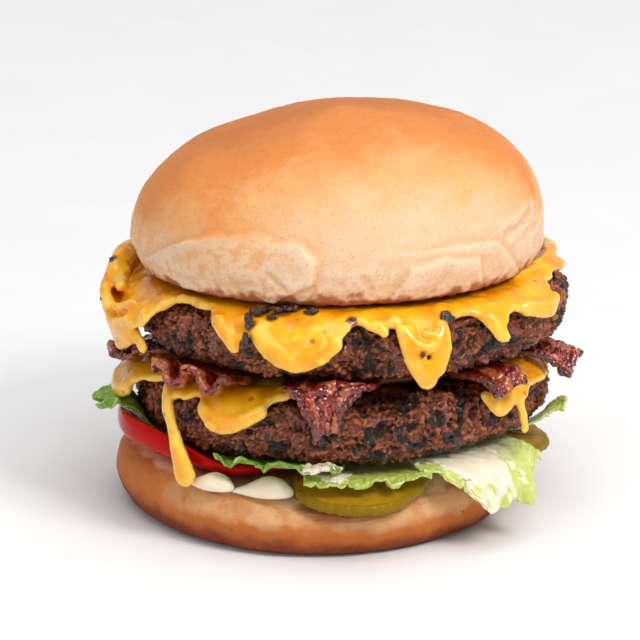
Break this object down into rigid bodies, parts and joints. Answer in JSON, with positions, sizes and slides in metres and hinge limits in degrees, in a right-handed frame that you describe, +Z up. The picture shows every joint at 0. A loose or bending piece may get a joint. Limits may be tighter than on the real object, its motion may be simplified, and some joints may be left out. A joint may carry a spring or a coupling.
{
  "type": "double cheeseburger",
  "caption": "Stacked burger: round bun, two beef patties under melted cheese, bacon strips, lettuce leaves, tomato and pickle slices and dollops of white sauce.",
  "frame": {"origin": "on the table under the middle of the burger, in the plane of the bottom bun's flat underside", "axes": "+Z up through the stack, -Y towards the side seen in the picture, +X to the right of that side"},
  "size_m": [0.1283, 0.1251, 0.1052],
  "materials": {
    "bun": "matte baked crust",
    "meat": "moist browned crust",
    "cheese": "glossy, melted",
    "bacon": "greasy, crisp edges",
    "lettuce": "fresh, slightly waxy",
    "tomato": "wet",
    "pickle": "wet, translucent",
    "sauce": "soft satin"
  },
  "bodies": {
    "root": {"bun_heel": "bun", "bun_crown": "bun", "patty_lower": "meat", "patty_upper": "meat", "cheese_lower": "cheese", "cheese_upper": "cheese", "bacon_left": "bacon", "bacon_front_left": "bacon", "bacon_front": "bacon", "bacon_front_right": "bacon", "bacon_right": "bacon", "bacon_back_right": "bacon", "bacon_back_left": "bacon", "lettuce_left": "lettuce", "lettuce_front_left": "lettuce", "lettuce_front": "lettuce", "lettuce_right": "lettuce", "lettuce_back": "lettuce", "tomato": "tomato", "pickle_front": "pickle", "pickle_right": "pickle", "sauce_left": "sauce", "sauce_front": "sauce"}
  },
  "joints": []
}
